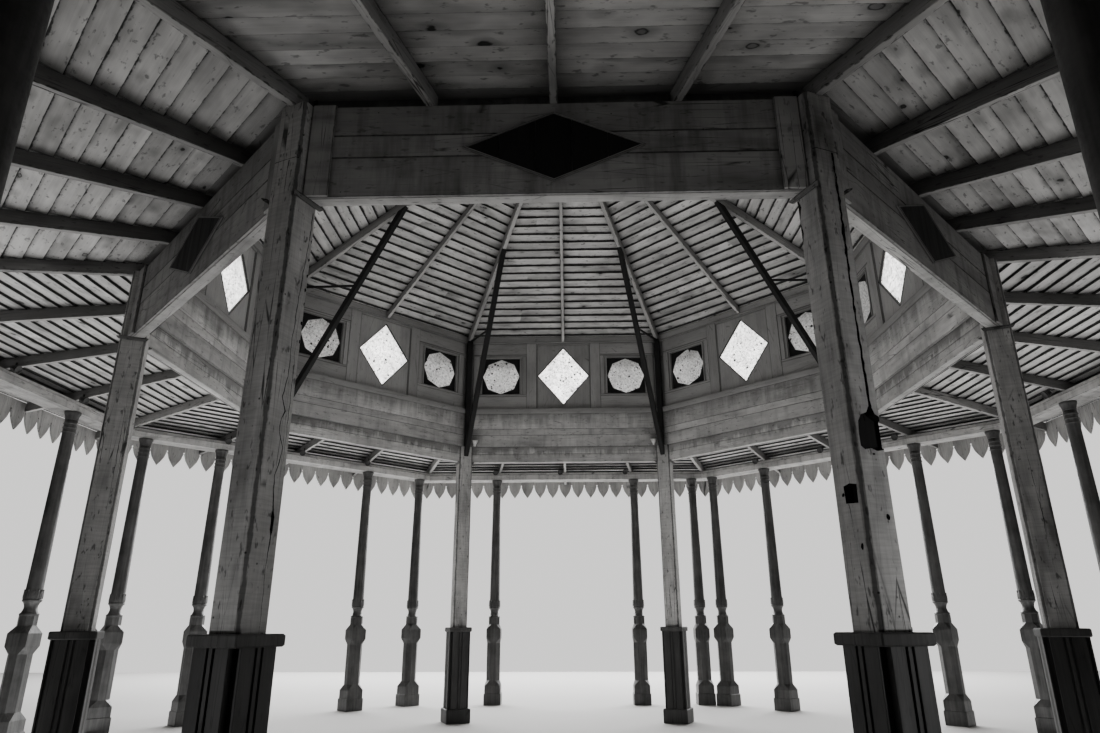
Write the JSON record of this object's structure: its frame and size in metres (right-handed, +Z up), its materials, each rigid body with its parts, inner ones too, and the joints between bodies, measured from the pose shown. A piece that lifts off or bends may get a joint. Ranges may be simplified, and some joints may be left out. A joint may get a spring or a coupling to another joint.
{
  "type": "bandstand",
  "caption": "Octagonal timber bandstand: a hall on posts, a windowed upper stage under a pyramid roof, and a low veranda roof with a pointed valance on cast-iron columns.",
  "frame": {"origin": "centre of the plan, on the floor", "axes": "+Z up, -Y towards the front side, +X to its right; the sides face X, Y and the diagonals"},
  "size_m": [15.0002, 15.0002, 8.3689],
  "materials": {
    "post_timber": "worn grey paint, split along the grain",
    "pedestal_timber": "dark stain on the boards, dull",
    "beam_timber": "worn mid-grey paint",
    "window_timber": "dark grey paint, dull",
    "dark_timber": "near-black paint, dull",
    "roof_boards": "sun-faded pale grey boards",
    "rafter_timber": "grey paint, dull",
    "roof_sheet": "weathered grey sheet, matt",
    "glass": "dusty panes",
    "column_iron": "dark grey paint with a soft sheen"
  },
  "bodies": {
    "root": {"apex_cap": "roof_sheet", "beam_end_boards": "beam_timber", "beam_plaques": "dark_timber", "clerestory_heads": "window_timber", "clerestory_mullions": "window_timber", "clerestory_sills": "window_timber", "column_capitals": "column_iron", "column_collars": "column_iron", "column_pedestals": "column_iron", "column_plinths": "column_iron", "column_shafts": "column_iron", "corner_posts": "dark_timber", "corner_studs": "window_timber", "diamond_panels": "window_timber", "diamond_panes": "glass", "eaves_beams": "beam_timber", "eaves_plates": "beam_timber", "hip_rafters": "rafter_timber", "hip_rolls": "roof_sheet", "inner_fascias": "beam_timber", "middle_rafters": "rafter_timber", "octagon_panes": "glass", "octagon_surrounds": "dark_timber", "outer_boards": "beam_timber", "post_caps": "pedestal_timber", "post_collars": "post_timber", "post_pedestals": "pedestal_timber", "post_plinths": "pedestal_timber", "rafter_tails": "rafter_timber", "recess_panels": "window_timber", "ring_beams": "beam_timber", "roof_boarding": "roof_boards", "roof_boss": "dark_timber", "roof_covering": "roof_sheet", "roof_edge_boards": "rafter_timber", "roof_struts": "dark_timber", "timber_posts": "post_timber", "valance": "rafter_timber", "veranda_boarding": "roof_boards", "veranda_covering": "roof_sheet", "veranda_hips": "rafter_timber", "veranda_rafters": "rafter_timber"}
  },
  "joints": []
}
